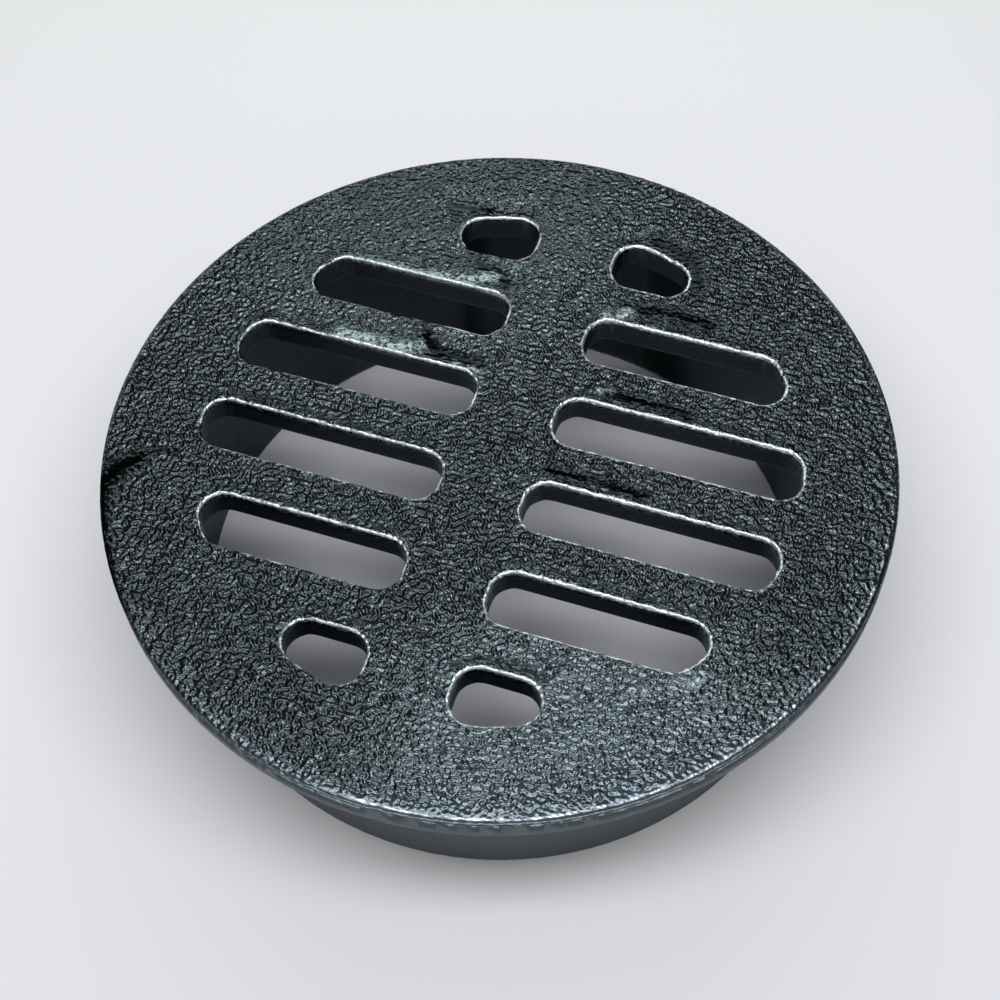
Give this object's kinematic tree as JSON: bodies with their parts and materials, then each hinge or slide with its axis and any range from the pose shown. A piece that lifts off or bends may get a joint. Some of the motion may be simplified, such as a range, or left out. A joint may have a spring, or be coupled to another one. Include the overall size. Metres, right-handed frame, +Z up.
{
  "type": "round drain grate",
  "caption": "Round cast-iron drain grate: a slotted plate with an overhanging rim on a deep round collar that drops inside the pipe.",
  "frame": {"origin": "centre of the collar's bottom edge, on the axis of the plate and the collar", "axes": "+Z up through the plate, which is on top; the slots run along X, and the rib between their two columns runs along Y"},
  "size_m": [0.175, 0.175, 0.0535],
  "materials": {
    "painted_casting": "glossy black paint over a rough, pebbled sand-cast skin"
  },
  "bodies": {
    "root": {"grate": "painted_casting"}
  },
  "joints": []
}
